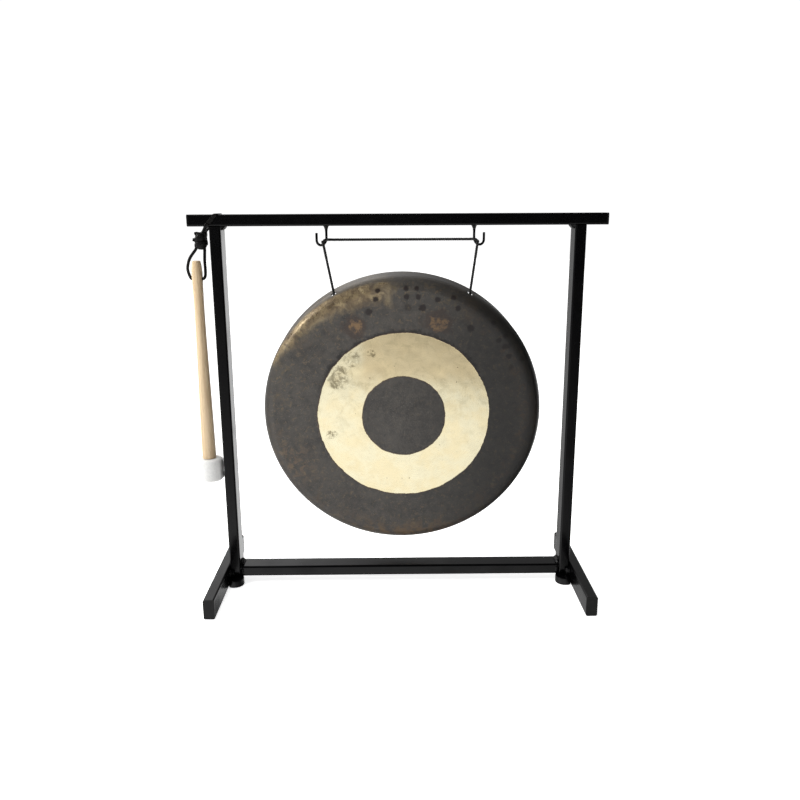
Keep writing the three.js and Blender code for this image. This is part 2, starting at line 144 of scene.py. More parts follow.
class Graph:
    """A node tree. Each helper adds a node and returns what it works out."""

    def __init__(self, owner, output, coordinates):
        owner.use_nodes = True
        self.tree = owner.node_tree
        self.tree.nodes.clear()
        self.surface = self.tree.nodes.new(output).inputs["Surface"]
        self.place = self.node("ShaderNodeTexCoord", {}, coordinates)

    def node(self, kind, inputs, output=0, **settings):
        node = self.tree.nodes.new(kind)
        for name, setting in settings.items():
            setattr(node, name, setting)
        for name, value in inputs.items():
            self.feed(node.inputs[name], value)
        return Value(self, node.outputs[output])

    def feed(self, socket, value):
        if isinstance(value, Value):
            self.tree.links.new(value.socket, socket)
        elif socket.type == "RGBA":
            colour = value if isinstance(value, tuple) else (value, value, value)
            socket.default_value = (*colour, 1.0)
        else:
            socket.default_value = value

    def calc(self, operation, *numbers, clamp=False):
        return self.node("ShaderNodeMath", dict(enumerate(numbers)), operation=operation, use_clamp=clamp)

    def larger(self, a, b):
        return self.calc("MAXIMUM", a, b)

    def length(self, a, b):
        return self.calc("SQRT", a * a + b * b)

    def split(self, vector):
        first = self.node("ShaderNodeSeparateXYZ", {0: vector})
        return [Value(self, socket) for socket in first.socket.node.outputs]

    def vector(self, x, y, z):
        return self.node("ShaderNodeCombineXYZ", {0: x, 1: y, 2: z})

    def stretched(self, x, y, z):
        return self.node("ShaderNodeMapping", {"Vector": self.place, "Scale": (x, y, z)})

    def mix(self, amount, a, b):
        return self.node("ShaderNodeMix", {0: amount, 6: a, 7: b}, 2, data_type="RGBA")


class Look(Graph):
    """A procedural material on one Principled shader. Its lengths are in millimetres."""

    def __init__(self, name):
        self.material = bpy.data.materials.new(name)
        super().__init__(self.material, "ShaderNodeOutputMaterial", "Object")
        self.place = self.stretched(1 / MM, 1 / MM, 1 / MM)
        shader = self.node("ShaderNodeBsdfPrincipled", {})
        self.inputs = shader.socket.node.inputs
        self.feed(self.surface, shader)

    def set(self, **values):
        for name, value in values.items():
            self.feed(self.inputs[name.replace("_", " ")], value)

    def noise(self, size, detail=3.0, rough=0.55, where=None, distortion=0.0, away=0.0):
        """Noise from 0 to 1 whose features are about size across. away, in metres, moves it elsewhere."""
        where = where or self.place
        if away:
            where = self.node("ShaderNodeMapping", {"Vector": where, "Location": (away / MM,) * 3})
        inputs = {"Vector": where, "Scale": 1 / size, "Detail": detail, "Roughness": rough}
        return self.node("ShaderNodeTexNoise", {**inputs, "Distortion": distortion})

    def cells(self, size, where=None, randomness=1.0, dimensions="3D"):
        """Distance to the nearest cell centre (in cells), and that cell's own random value."""
        inputs = {"Vector": where or self.place, "Scale": 1 / size, "Randomness": randomness}
        distance = self.node("ShaderNodeTexVoronoi", inputs, "Distance", voronoi_dimensions=dimensions)
        colour = Value(self, distance.socket.node.outputs["Color"])
        return distance, self.split(colour)[0]

    def bump(self, height, depth, strength=1.0, after=None):
        inputs = {"Height": height, "Distance": depth * MM, "Strength": strength}
        if after is not None:
            inputs["Normal"] = after
        return self.node("ShaderNodeBump", inputs)


def black_paint():
    """Gloss black enamel: slight orange peel, faint dust, and small scuffs that dull the gloss."""
    look = Look("black_paint")
    peel = look.noise(2.2, 2.0)
    dust = look.noise(0.9, 5.0, 0.75).ramp(0.62, 0.74)
    patches = look.noise(38, 4.0).ramp(0.45, 0.7)
    scuffs = look.noise(1.0, 6.0, 0.7, look.stretched(0.3, 0.3, 0.035)).ramp(0.66, 0.72)
    look.set(Base_Color=look.mix(dust * patches * 0.35, (0.0016, 0.0015, 0.0018), (0.03, 0.029, 0.027)))
    look.set(Roughness=patches * 0.10 + 0.17 + scuffs * 0.18, Specular_IOR_Level=0.25)
    look.set(Normal=look.bump(peel, 0.02, 0.6, look.bump(dust, 0.02, 0.4)))
    return look.material


def black_moulding():
    """Satin black plastic of the end caps, with a fine moulded grain."""
    look = Look("black_plastic")
    wear = look.noise(9, 4.0).ramp(0.5, 0.72)
    look.set(Base_Color=look.mix(wear, (0.0035, 0.0034, 0.0036), (0.008, 0.0078, 0.0076)))
    look.set(Roughness=wear * 0.12 + 0.34, Specular_IOR_Level=0.3)
    look.set(Normal=look.bump(look.noise(0.35, 2.0), 0.03, 0.5))
    return look.material


# The scraped ring, in millimetres like every length in a look.
RING_INNER = 45.7
RING_OUTER = 93.5
RING_SHIFT = 1.2                 # the ring was scraped slightly to the right of the disc's centre
HEAT_ROWS = ((140, 10, 0.76), (131.5, 11, 0.60), (120, 14, 0.84))     # radius, spacing, share left bare
RUSTY_SPOTS = ((38, 103, 14, 0.7), (-49, 101, 13, 1.0))              # x, z, size, narrowing
SCORCHED = (0.020, 0.013, 0.012)


class Bronze(Look):
    """Fire-scaled bronze with ochre mottling, scorch spots and a scraped bright ring, with painted shade on
    its right side and a painted dark reflection over the ring's top.
    """

    def __init__(self):
        super().__init__("bronze")
        self.x, self.depth, self.z = self.split(self.place)
        self.radius = self.length(self.x, self.z)
        self.turn = self.calc("ARCTAN2", self.x, self.z)
        self.mottle = self.noise(9, 6.0, 0.68, distortion=0.4)
        self.speckle = self.noise(1.9, 5.0, 0.85)
        ring, outline, brushing, haze, metal, pits, tarnish = self.scraped_ring()
        gold, scale = self.scale(outline)
        self.set(Base_Color=self.mix(ring, scale, metal), Specular_IOR_Level=0.5)
        self.set(Metallic=self.mix(ring, gold * 0.45, 1.0 - pits * 0.6))
        rubbed = self.radius.ramp(138, 147) * 0.14 + gold * self.patches(6, 4.0, 0.42, 0.6) * 0.16
        scale_rough = self.mottle * 0.34 + 0.34 - rubbed
        self.set(Roughness=self.mix(ring, scale_rough, haze * 0.16 + 0.13 + tarnish * 0.12))
        coarse = self.bump(self.mix(ring, self.mottle, haze), 0.16, self.mix(ring, 0.75, 0.16))
        fine = self.bump(self.mix(ring, self.speckle, brushing), 0.06, self.mix(ring, 0.9, 0.14), coarse)
        self.set(Normal=self.bump(1.0 - ring, 0.12, 0.6, fine))

    def uneven(self, reach, size, detail, rough=0.55, away=0.0):
        """Noise that reaches about half of reach to either side of 0."""
        return (self.noise(size, detail, rough, away=away) - 0.5) * reach

    def patches(self, size, away, start, end):
        return self.noise(size, 6.0, 0.7, distortion=0.6, away=away).ramp(start, end)

    def spot(self, x, z, size, flat=1.0, ragged=0.45):
        """1 inside a ragged round spot, 0 outside."""
        distance = self.length((self.x - x) * flat, self.z - z)
        rough = self.uneven(ragged * size, 0.8 * size, 4.0, 0.7, away=x * 0.09)
        return (distance + rough).ramp(0.62 * size, 0.40 * size)

    def scraped_ring(self):
        """The ring's mask, its rusty outline, and its metal: cloudy brushing round the centre, faint patches
        that thicken upwards, a painted dark reflection over its top, tarnish heaviest at the upper left, and
        a few small pits."""
        ring_radius = self.length(self.x - RING_SHIFT, self.z)
        edge = ring_radius + self.uneven(3.0, 17, 2.0) + self.uneven(1.2, 3.2, 3.0)
        sheet = SHEET / MM
        front = self.depth.ramp(0.5 * sheet + 0.15, 0.5 * sheet - 0.15)
        ring = edge.band(RING_INNER, RING_OUTER, 0.25) * front
        outline = edge.band(RING_INNER - 0.9, RING_OUTER + 0.9, 0.4) * front
        brushing = self.noise(1.1, 4.0, 0.7, self.vector(self.turn * 16, ring_radius, 0.0))
        haze = self.noise(21, 4.0, 0.6, away=6.4)
        smudge = self.larger(self.spot(-69, 44, 25, 1.2, 0.9), self.spot(-54, 66, 17))
        dabs = self.larger(self.spot(-33, 71, 9), self.spot(-78, -21, 9, 0.7))
        smudge = smudge * self.patches(7, 1.9, 0.42, 0.62)
        tarnish = self.larger(smudge, dabs * self.patches(3, 3.1, 0.45, 0.6))
        distance, chance = self.cells(8.5)
        pits = distance.ramp(0.09, 0.05) * chance.ramp(0.78, 0.82)
        metal = self.mix(haze.ramp(0.36, 0.66), (0.91, 0.80, 0.52), (0.97, 0.90, 0.64))
        # painted reflection: the polished ring's top is tinted darker, as if it mirrored the dim room
        upper = self.z.ramp(22, 56) * self.x.ramp(-50, -36, 0.05, 1.0)
        faint = self.patches(15, 7.2, 0.46, 0.66) * self.z.ramp(-60, 60, 0.10, 0.42)
        return ring, outline, brushing, haze, self.layered(metal, (
            (brushing.ramp(0.40, 0.68, 0.0, 0.22), (0.72, 0.60, 0.37)),
            (upper * 0.8, (0.78, 0.635, 0.375)),
            (faint, (0.52, 0.45, 0.27)),
            (tarnish * 0.62, (0.16, 0.125, 0.06)),
            (pits * 0.85, (0.12, 0.075, 0.035)),
        )), pits, tarnish

    def layered(self, colour, layers):
        """A colour with each (amount, colour) layer laid over it in turn."""
        for amount, layer in layers:
            colour = self.mix(amount, colour, layer)
        return colour

    def scale(self, outline):
        """The gold mottling's mask, and the colour of the scale with everything that lies on it, and painted
        shade that darkens it towards the right.
        """
        clouds = self.noise(46, 5.0, 0.6).ramp(0.35, 0.68)
        flecks = self.noise(0.9, 2.0, 0.6, away=8.0)
        scale = self.mix(clouds, (0.054, 0.049, 0.045), (0.074, 0.067, 0.060))
        scale = self.layered(scale, (
            (self.mottle.ramp(0.42, 0.70, 0.0, 0.60), (0.105, 0.093, 0.079)),
            (self.mottle.ramp(0.46, 0.30, 0.0, 0.65), (0.034, 0.031, 0.030)),
            (self.speckle.ramp(0.57, 0.72, 0.0, 0.62), (0.17, 0.155, 0.13)),
            (self.speckle.ramp(0.44, 0.30, 0.0, 0.65), (0.022, 0.020, 0.019)),
            (flecks.ramp(0.63, 0.70, 0.0, 0.55), (0.27, 0.25, 0.20)),
        ))
        scale = self.tints(scale)
        gold, scale = self.gilded(scale)

        # smoother and greyer shoulder, and painted shade on the right: a dark band inside it and along its
        # edge
        shoulder = self.radius.ramp(140, 147) * (1.0 - gold) * self.turn.ramp(1.4, 0.6) * 0.5
        # painted shade down the right side of the shoulder and rim
        painted_shade_band = self.turn.band(0.45, 2.3, 0.25) * self.radius.band(136, 146, 4)
        painted_shade_edge = self.turn.ramp(0.55, 1.1) * self.turn.ramp(2.9, 2.3) * self.radius.ramp(144, 149)
        scale = self.layered(scale, (
            (shoulder, (0.070, 0.066, 0.060)),
            (painted_shade_band * 0.6, (0.020, 0.018, 0.017)),
            (painted_shade_edge * 0.85, (0.012, 0.011, 0.011)),
        ))
        scale = self.heat_marks(scale, outline)
        # painted shade: the scale darkens steadily towards the right, away from the light
        return gold, self.mix(self.x.ramp(-20, 110, 0.0, 0.68), scale, (0.008, 0.0075, 0.007))

    def gilded(self, scale):
        """Ochre mottling over the upper left shoulder, patchy and mixed with dark brown."""
        arc_edge = self.turn + self.uneven(0.5, 22, 3.0, away=3.3)
        reach = self.turn * -20 + 109
        gold_edge = self.noise(15, 7.0, 0.72, distortion=0.6, away=2.3) * 26 + reach
        rim_depth = self.depth + self.turn * 5.5
        gold = arc_edge.band(-1.22, -0.14, 0.12) * (self.radius - gold_edge).ramp(-5, 9)
        gold = gold * rim_depth.ramp(4.5, 1.5, 0.25, 1.0)
        brown = self.mix(self.patches(9, 5.5, 0.36, 0.66), (0.165, 0.120, 0.075), (0.24, 0.180, 0.110))
        ochre = self.mix(self.patches(8, 4.0, 0.38, 0.68), (0.33, 0.245, 0.135), (0.56, 0.44, 0.255))
        tone = self.mix(self.patches(15, 1.1, 0.40, 0.60), brown, ochre)
        umber = gold * self.patches(7, 9.4, 0.58, 0.70) * 0.7
        return gold, self.layered(scale, ((gold * 0.88, tone), (umber, (0.045, 0.032, 0.024))))

    def tints(self, scale):
        """Brown and rust that thicken towards the rim, at the lower left, the bottom and the right."""
        outer = self.radius.ramp(96, 146)
        lower_left = self.turn.band(-2.15, -1.80, 0.12) * self.radius.ramp(100, 132)
        bottom = self.calc("ABSOLUTE", self.turn).ramp(2.45, 3.0) * self.radius.ramp(122, 140)
        right = self.turn.band(0.6, 2.5, 0.3) * self.radius.band(126, 144, 4)
        return self.layered(scale, (
            (self.patches(26, 0.3, 0.52, 0.70) * outer * 0.6, (0.115, 0.078, 0.048)),
            (self.patches(12, 6.1, 0.56, 0.70) * outer * 0.6, (0.15, 0.115, 0.06)),
            (self.patches(9, 0.8, 0.47, 0.60) * lower_left * 0.75, (0.165, 0.112, 0.070)),
            (self.patches(5, 12.3, 0.55, 0.64) * self.radius.ramp(50, 125, 0.2, 0.7), (0.165, 0.122, 0.072)),
            (self.patches(12, 1.7, 0.42, 0.58) * bottom * 0.7, (0.165, 0.105, 0.055)),
            (self.patches(7, 2.9, 0.50, 0.64) * right * 0.7, (0.14, 0.082, 0.045)),
        ))

    def heat_marks(self, scale, outline):
        """Round scorch spots inside the shoulder, two rusty ones, and charring round the ring."""
        for row, spacing, bare in HEAT_ROWS:
            across = self.radius - row
            where = self.vector(self.turn * row, across + 0.25 * spacing, 0.0)
            distance, chance = self.cells(spacing, where, 0.5, "2D")
            spot = (distance + self.uneven(0.44, 3.2, 4.0, 0.7)).ramp(0.34, 0.18)
            spot = spot * chance.ramp(bare, bare + 0.04)
            near_row = across.band(-0.55 * spacing, 0.55 * spacing, 1.0)
            scale = self.mix(spot * near_row * self.turn.band(-0.36, 1.15, 0.10) * 0.9, scale, SCORCHED)
        for x, z, size, flat in RUSTY_SPOTS:
            rusty = self.spot(x, z, size, flat, 1.3) * self.patches(4, x * 0.05, 0.38, 0.58)
            scale = self.mix(self.spot(x, z, 1.8 * size, flat, 1.3) * 0.55, scale, (0.060, 0.036, 0.027))
            scale = self.mix(rusty * 0.8, scale, (0.25, 0.15, 0.068))
        scorch_noise = self.noise(8, 5.0, 0.75, distortion=0.7, away=5.1)
        scorch = (self.radius + scorch_noise * 20 - 8.5).band(RING_OUTER - 3, RING_OUTER + 4.5, 2.5)
        upwards = self.calc("ABSOLUTE", self.turn).ramp(1.45, 0.9, 0.12, 0.9)
        front = self.depth.ramp(0.9 * SHEET / MM, 0.6 * SHEET / MM)
        scale = self.mix(scorch * upwards * front, scale, (0.019, 0.016, 0.015))
        return self.mix(outline * 0.7, scale, (0.105, 0.060, 0.030))


def cord_fibre():
    """Black waxed cord: short pale fibre ends on a dull twist."""
    look = Look("cord")
    fibres = look.noise(0.28, 4.0, 0.7, distortion=1.2)
    look.set(Base_Color=look.mix(fibres.ramp(0.52, 0.75), (0.0030, 0.0028, 0.0028), (0.016, 0.015, 0.014)))
    look.set(Roughness=fibres * 0.3 + 0.5, Sheen_Weight=0.2, Sheen_Roughness=0.5)
    look.set(Normal=look.bump(fibres, 0.12, 0.8))
    return look.material


def leather():
    """Black leather lace: pebbled grain, creases across the bends, rubbed highlights."""
    look = Look("lace")
    pebble = look.cells(0.55)[0]
    creases = look.noise(2.4, 5.0, 0.7, distortion=1.5)
    rubbed = creases.ramp(0.52, 0.74)
    look.set(Base_Color=look.mix(rubbed, (0.0030, 0.0026, 0.0025), (0.014, 0.0115, 0.0105)))
    look.set(Roughness=creases * 0.30 + 0.34, Specular_IOR_Level=0.3)
    look.set(Normal=look.bump(creases, 0.30, 0.7, look.bump(pebble, 0.07, 0.6)))
    return look.material


def turned_wood(name, pale, dark, lacquer):
    """Close-grained turned wood: long fibres, growth rings and short pores."""
    look = Look(name)
    fibres = look.noise(1.0, 5.0, 0.6, look.stretched(0.9, 0.9, 0.026))
    rings = look.noise(1.0, 3.0, 0.5, look.stretched(0.21, 0.13, 0.005))
    pores = look.noise(1.0, 2.0, 0.5, look.stretched(1.9, 1.9, 0.11)).ramp(0.66, 0.72)
    bands = look.calc("FRACT", rings * 7.0)
    tone = look.mix(bands.ramp(0.15, 0.95, 0.0, 0.45), pale, dark)
    tone = look.mix(fibres.ramp(0.42, 0.68, 0.0, 0.45), tone, dark)
    tone = look.mix(pores * 0.5, tone, tuple(0.45 * c for c in dark))
    look.set(Base_Color=tone, Roughness=fibres * 0.22 + 0.36, Coat_Weight=lacquer, Coat_Roughness=0.3)
    look.set(Normal=look.bump(fibres, 0.05, 0.5, look.bump(pores, -0.08, 0.5)))
    return look.material


def felt():
    """Dense white wool felt: matted short fibres, soft clumps and shaded hollows."""
    look = Look("felt")
    fibres = look.noise(0.30, 5.0, 0.75, distortion=2.0)
    clumps = look.noise(2.6, 4.0, 0.65, distortion=0.8)
    tone = look.mix(clumps.ramp(0.35, 0.7), (0.90, 0.895, 0.875), (0.80, 0.795, 0.78))
    tone = look.mix(fibres.ramp(0.50, 0.30, 0.0, 0.35), tone, (0.62, 0.61, 0.59))
    look.set(Base_Color=tone, Roughness=0.96, Specular_IOR_Level=0.15, Sheen_Weight=0.5, Sheen_Roughness=0.6)
    look.set(Normal=look.bump(fibres, 0.25, 0.8, look.bump(clumps, 0.5, 0.6)))
    return look.material


PAINT = black_paint()
MOULDING = black_moulding()
BRONZE = Bronze().material
CORD = cord_fibre()
LEATHER = leather()
MAPLE = turned_wood("handle_wood", (0.74, 0.575, 0.37), (0.54, 0.365, 0.195), 0.25)
CORE_WOOD = turned_wood("core_wood", (0.60, 0.45, 0.29), (0.42, 0.29, 0.17), 0.0)
FELT = felt()

# ---- mesh helpers


def mesh_piece(name, points, faces, material, slot):
    mesh = bpy.data.meshes.new(name)
    mesh.from_pydata([tuple(p) for p in points], [], faces)
    work = bmesh.new()
    work.from_mesh(mesh)
    bmesh.ops.recalc_face_normals(work, faces=work.faces)
    for face in work.faces:
        face.smooth = True
    work.to_mesh(mesh)
    work.free()
    piece = bpy.data.objects.new(name, mesh)
    bpy.context.scene.collection.objects.link(piece)
    mesh.materials.append(material)
    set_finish(piece, slot)
    return piece


def stand_in(piece, body, node):
    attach(piece, body)
    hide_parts(node)


def skin(rings, closed=False):
    """Faces of quads between successive rings of points, with flat ends unless the rings close up."""
    count = len(rings[0])
    points = [p for ring in rings for p in ring]
    faces = []
    for i in range(len(rings) if closed else len(rings) - 1):
        a = i * count
        b = (i + 1) % len(rings) * count
        faces += [(a + j, a + (j + 1) % count, b + (j + 1) % count, b + j) for j in range(count)]
    if not closed:
        faces.append(tuple(range(count)))
        faces.append(tuple(range(len(points) - count, len(points))))
    return points, faces


def turned(profile, steps):
    """Points and faces of a body turned about Z. The profile runs from axis to axis."""
    points = []
    faces = []
    rows = []
    for radius, height in profile:
        if radius < 1e-9:
            rows.append([len(points)])
            points.append(Vector((0, 0, height)))
        else:
            rows.append(list(range(len(points), len(points) + steps)))
            points += [Vector((x, y, height)) for x, y in circle(radius, steps)]
    for lower, upper in zip(rows, rows[1:]):
        for k in range(steps):
            n = (k + 1) % steps
            if len(lower) == 1:
                faces.append((lower[0], upper[n], upper[k]))
            elif len(upper) == 1:
                faces.append((lower[k], lower[n], upper[0]))
            else:
                faces.append((lower[k], lower[n], upper[n], upper[k]))
    return points, faces


def add_body(body, more):
    """Adds a second body's points and faces to those of the first."""
    count = len(body[0])
    body[0].extend(more[0])
    body[1].extend(tuple(v + count for v in face) for face in more[1])


def arc(centre, radius, start, end, steps):
    """Points of a circular arc in a profile's plane, angles in degrees."""
    turns = [math.radians(start + (end - start) * i / steps) for i in range(steps + 1)]
    return [(centre[0] + radius * math.cos(t), centre[1] + radius * math.sin(t)) for t in turns]


def circle(radius, steps):
    turns = [2 * math.pi * k / steps for k in range(steps)]
    return [(radius * math.cos(t), radius * math.sin(t)) for t in turns]


def between(a, b, steps):
    """The points that divide the line from a to b, without its two ends."""
    return [tuple(a[k] + (b[k] - a[k]) * i / steps for k in (0, 1)) for i in range(1, steps)]


def smooth_path(knots, spacing, closed=False):
    """Points about spacing apart on a Catmull-Rom curve through the knots."""
    count = len(knots)
    path = []
    for i in range(count if closed else count - 1):
        around = [i + k if closed else min(max(i + k, 0), count - 1) for k in (-1, 0, 1, 2)]
        p0, p1, p2, p3 = (knots[k % count] for k in around)
        steps = max(2, round((p2 - p1).length / spacing))
        for s in range(steps):
            t = s / steps
            path.append(0.5 * (
                2 * p1 + (p2 - p0) * t + (2 * p0 - 5 * p1 + 4 * p2 - p3) * t * t
                + (3 * p1 - p0 - 3 * p2 + p3) * t * t * t
            ))
    if not closed:
        path.append(knots[-1].copy())
    return path


def swept(path, section, side, closed=False):
    """Rings of a section carried along a path. section(i, run) gives (side, up) offsets, and side is a
    direction that the section's first offset stays close to."""
    rings = []
    run = 0.0
    count = len(path)
    for i, point in enumerate(path):
        before = path[i - 1] if closed or i > 0 else point
        after = path[(i + 1) % count] if closed or i < count - 1 else point
        ahead = (after - before).normalized()
        guide = side(i) if callable(side) else side
        up = ahead.cross(guide).normalized()
        across = up.cross(ahead).normalized()
        rings.append([point + across * u + up * v for u, v in section(i, run)])
        run += (after - point).length
    return rings


def apply_modifiers(piece):
    depsgraph = bpy.context.evaluated_depsgraph_get()
    mesh = bpy.data.meshes.new_from_object(piece.evaluated_get(depsgraph))
    piece.modifiers.clear()
    piece.data = mesh


def drill(piece, slot, radius, reach, holes):
    """Cuts a round hole at each (centre, direction), reaching that far to both sides."""
    bits = []
    for centre, direction in holes:
        points, faces = turned([(0, -reach), (radius, -reach), (radius, reach), (0, reach)], 32)
        turn = direction.to_track_quat("Z", "Y").to_matrix()
        placed = [turn @ p + centre for p in points]
        bits.append(mesh_piece("drill", placed, faces, piece.data.materials[0], slot))
        cut = piece.modifiers.new("hole", "BOOLEAN")
        cut.operation = "DIFFERENCE"
        cut.solver = "MANIFOLD"
        cut.object = bits[-1]
    apply_modifiers(piece)
    for bit in bits:
        bpy.data.objects.remove(bit)


def fuse(piece, voxel):
    """Joins overlapping bodies into one skin."""
    remesh = piece.modifiers.new("fuse", "REMESH")
    remesh.mode = "VOXEL"
    remesh.voxel_size = voxel
    remesh.use_smooth_shade = True
    relax = piece.modifiers.new("relax", "SMOOTH")
    relax.factor = 0.5
    relax.iterations = 3
    apply_modifiers(piece)


def jitter(point, size, seed=0.0):
    """Smooth noise from about -1 to 1 whose features are about size across."""
    return noise.noise(Vector(point) / size + Vector((seed, seed * 1.7, seed * 0.3)))


def waves(point, layers):
    """Noise summed over layers of (height, size, seed), in millimetres."""
    return sum(height * MM * jitter(point, size * MM, seed) for height, size, seed in layers)


# ---- CAD nodes that stay


def smoothing_group():
    """Geometry nodes: drops the stored normals, shades smooth, and keeps edges over 40 degrees sharp."""
    group = bpy.data.node_groups.new("smooth_by_angle", "GeometryNodeTree")
    for way in ("INPUT", "OUTPUT"):
        group.interface.new_socket("Geometry", in_out=way, socket_type="NodeSocketGeometry")
    new = group.nodes.new
    drop = new("GeometryNodeRemoveAttribute")
    drop.inputs["Name"].default_value = "custom_normal"
    soften = new("GeometryNodeSetShadeSmooth")
    soften.domain = "FACE"
    crease = new("GeometryNodeSetShadeSmooth")
    crease.domain = "EDGE"
    flow = [new("NodeGroupInput"), drop, soften, crease, new("NodeGroupOutput")]
    for before, after in zip(flow, flow[1:]):
        group.links.new(before.outputs[0], after.inputs[0])
    angle = new("GeometryNodeInputMeshEdgeAngle")
    gentle = new("FunctionNodeCompare")
    gentle.data_type = "FLOAT"
    gentle.operation = "LESS_THAN"
    gentle.inputs[1].default_value = math.radians(40)
    group.links.new(angle.outputs["Unsigned Angle"], gentle.inputs[0])
    group.links.new(gentle.outputs[0], crease.inputs["Shade Smooth"])
    return group


SMOOTHING = smoothing_group()


def shade_smooth(piece):
    piece.modifiers.new("smooth", "NODES").node_group = SMOOTHING


def finish_node(node, material, slot, edge=0.35 * MM, segments=2):
    """Gives a CAD node its material, and softens its edges with modifiers."""
    piece = frame["nodes"][node]
    for place in piece.material_slots:
        place.material = material
    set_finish(piece, slot)
    piece.modifiers.new("weld", "WELD").merge_threshold = 0.002 * MM
    bevel = piece.modifiers.new("edges", "BEVEL")
    bevel.width = edge
    bevel.segments = segments
    bevel.limit_method = "ANGLE"
    bevel.angle_limit = math.radians(50)
    shade_smooth(piece)
    flat = piece.modifiers.new("flat", "WEIGHTED_NORMAL")
    flat.keep_sharp = True
    flat.weight = 100


def finish_stand():
    for node in ("top_bar", "lower_rail"):
        finish_node(node, PAINT, "black_paint")
    for side, _ in SIDES:
        finish_node(f"top_bar_cap_{side}", MOULDING, "black_plastic", 1.7 * MM, 4)
        finish_node(f"upright_{side}", PAINT, "black_paint", 0.2 * MM)
        finish_node(f"foot_{side}", PAINT, "black_paint")
        finish_node(f"corner_glide_{side}", PAINT, "black_paint", 0.8 * MM)
        for end in ("front", "rear"):
            finish_node(f"foot_cap_{side}_{end}", MOULDING, "black_plastic", 0.8 * MM)
    finish_node("mallet_core", CORE_WOOD, "core_wood", 0.2 * MM)


# ---- welds and hooks


def side_x(node, sign):
    """How far a node reaches in x, to the right when sign is 1 and to the left when it is -1."""
    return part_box(node)[1 if sign > 0 else 0].x


def add_bead(node, rings):
    bead = mesh_piece(node.replace("weld", "bead"), *skin(rings), PAINT, "black_paint")
    stand_in(bead, "stand", node)


def stations(length):
    """Where a bead's rings lie along its run, as fractions of it."""
    steps = round(length / (0.35 * MM))
    return [i / steps for i in range(steps + 1)]


def corner_bead(node, corner, legs, along, ripple, fullness=0.82, rough=0.05):
    """A fillet bead in an inside corner: a quarter-round, rippled along its run and rounded off at both
    ends. corner is its middle, and legs are the directions of the two walls."""
    low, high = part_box(node)
    length = abs((high - low).dot(along))
    start = corner - along * (length / 2)
    leg = min(abs((high - low).dot(wall)) for wall in legs)
    rings = []
    for run in stations(length):
        end = min(1.0, 6 * min(run, 1 - run)) ** 0.5
        wave = 1 + rough * math.sin(2 * math.pi * run * length / ripple)
        size = leg * wave * max(end, 0.05)
        origin = start + along * (length * run)
        ring = [origin - (legs[0] + legs[1]) * 0.1 * MM]
        for k in range(9):
            turn = math.pi / 2 * k / 8
            bulge = fullness - 0.10 * math.sin(2 * turn)
            bulge += rough * jitter(origin + legs[0] * turn * leg, 1.3 * MM, 3.0)
            ring.append(origin + (legs[0] * math.cos(turn) + legs[1] * math.sin(turn)) * size * bulge)
        rings.append(ring)
    add_bead(node, rings)


def build_welds():
    along = Vector((0, 1, 0))
    up = Vector((0, 0, 1))
    for side, sign in SIDES:
        inward = Vector((-sign, 0, 0))
        x = side_x(f"bar_weld_{side}", sign)
        for node, z, wall in ((f"bar_weld_{side}", BAR_LOW.z, -up), (f"rail_weld_{side}", RAIL_HIGH.z, up)):
            corner_bead(node, Vector((x, STAND.y, z)), (inward, wall), along, 2.6 * MM)
        front_bead(f"rail_front_weld_{side}")
        node = f"foot_weld_{side}"
        by_foot = Vector((side_x(node, sign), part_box(node)[1].y, middle_of(node).z))
        corner_bead(node, by_foot, (inward, -along), up, 3.1 * MM, 1.2, 0.02)


def front_bead(node):
    """A flat rippled bead down the front of the joint between rail and upright."""
    low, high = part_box(node)
    height = high.z - low.z
    rings = []
    for run in stations(height):
        end = max(0.05, min(1.0, 5 * min(run, 1 - run)) ** 0.5)
        wave = 1 + 0.15 * math.sin(2 * math.pi * run * height / (2.4 * MM))
        ring = []
        for k in range(13):
            turn = math.pi * k / 12
            reach = (high.x - low.x) / 2 * math.cos(turn) * end
            rise = (high.y - low.y) * math.sin(turn) * end * wave
            z = low.z + height * run + 0.35 * MM * math.sin(turn)
            ring.append(Vector(((low.x + high.x) / 2 + reach, high.y + 0.1 * MM - rise, z)))
        rings.append(ring)
    add_bead(node, rings)


WIRE = 1.3 * MM
HOOK_BEND = 5.1 * MM
HOOK_BEND_DROP = 14.6 * MM       # from the bar's underside to the middle of the hook's bend
HOOK_TIP_DROP = 7.2 * MM
HOOK_LEAD = 2.6 * MM             # the bend starts this much higher on the shank's side


def shank_at(side, sign):
    """Where a hook's shank meets the bar's underside."""
    return Vector((side_x(f"hook_{side}", -sign) + sign * WIRE, STAND.y, BAR_LOW.z))


def build_hooks():
    """Bent wire hooks with rounded cut ends, and a lumpy cone of weld round each shank."""
    for side, sign in SIDES:
        top = shank_at(side, sign)
        path = [top - mm(0, 0, 0.5 * i) for i in range(24)]        # down the shank, then round the bend
        for t in range(1, 24):
            turn = math.pi * t / 24
            width = HOOK_BEND * (1.16 if turn < math.pi / 2 else 0.84)
            rise = HOOK_LEAD if turn < math.pi / 2 else 0.0
            reach = HOOK_BEND * 1.16 - width * math.cos(turn)
            drop = (HOOK_BEND + rise) * math.sin(turn) - rise
            path.append(top + Vector((sign * reach, 0, -HOOK_BEND_DROP - drop)))
        tip = top + Vector((sign * 2 * HOOK_BEND, 0, 0))
        path += [tip + Vector((0, 0, 0.5 * MM * i - HOOK_BEND_DROP)) for i in range(15)]
        path += [tip + Vector((0, 0, (0.15 * i - 0.45) * MM - HOOK_TIP_DROP)) for i in range(4)]
        last = len(path) - 1

        def wire_section(i, run):
            inset = max(0, i - (last - 3)) / 3
            radius = WIRE * math.sqrt(max(0.05, 1 - 0.8 * inset ** 2))
            return circle(radius, 16)

        points, faces = skin(swept(path, wire_section, Vector((0, 1, 0))))
        hook = mesh_piece(f"wire_hook_{side}", points, faces, PAINT, "black_paint")
        stand_in(hook, "stand", f"hook_{side}")
        build_hook_cone(f"hook_weld_{side}", top)


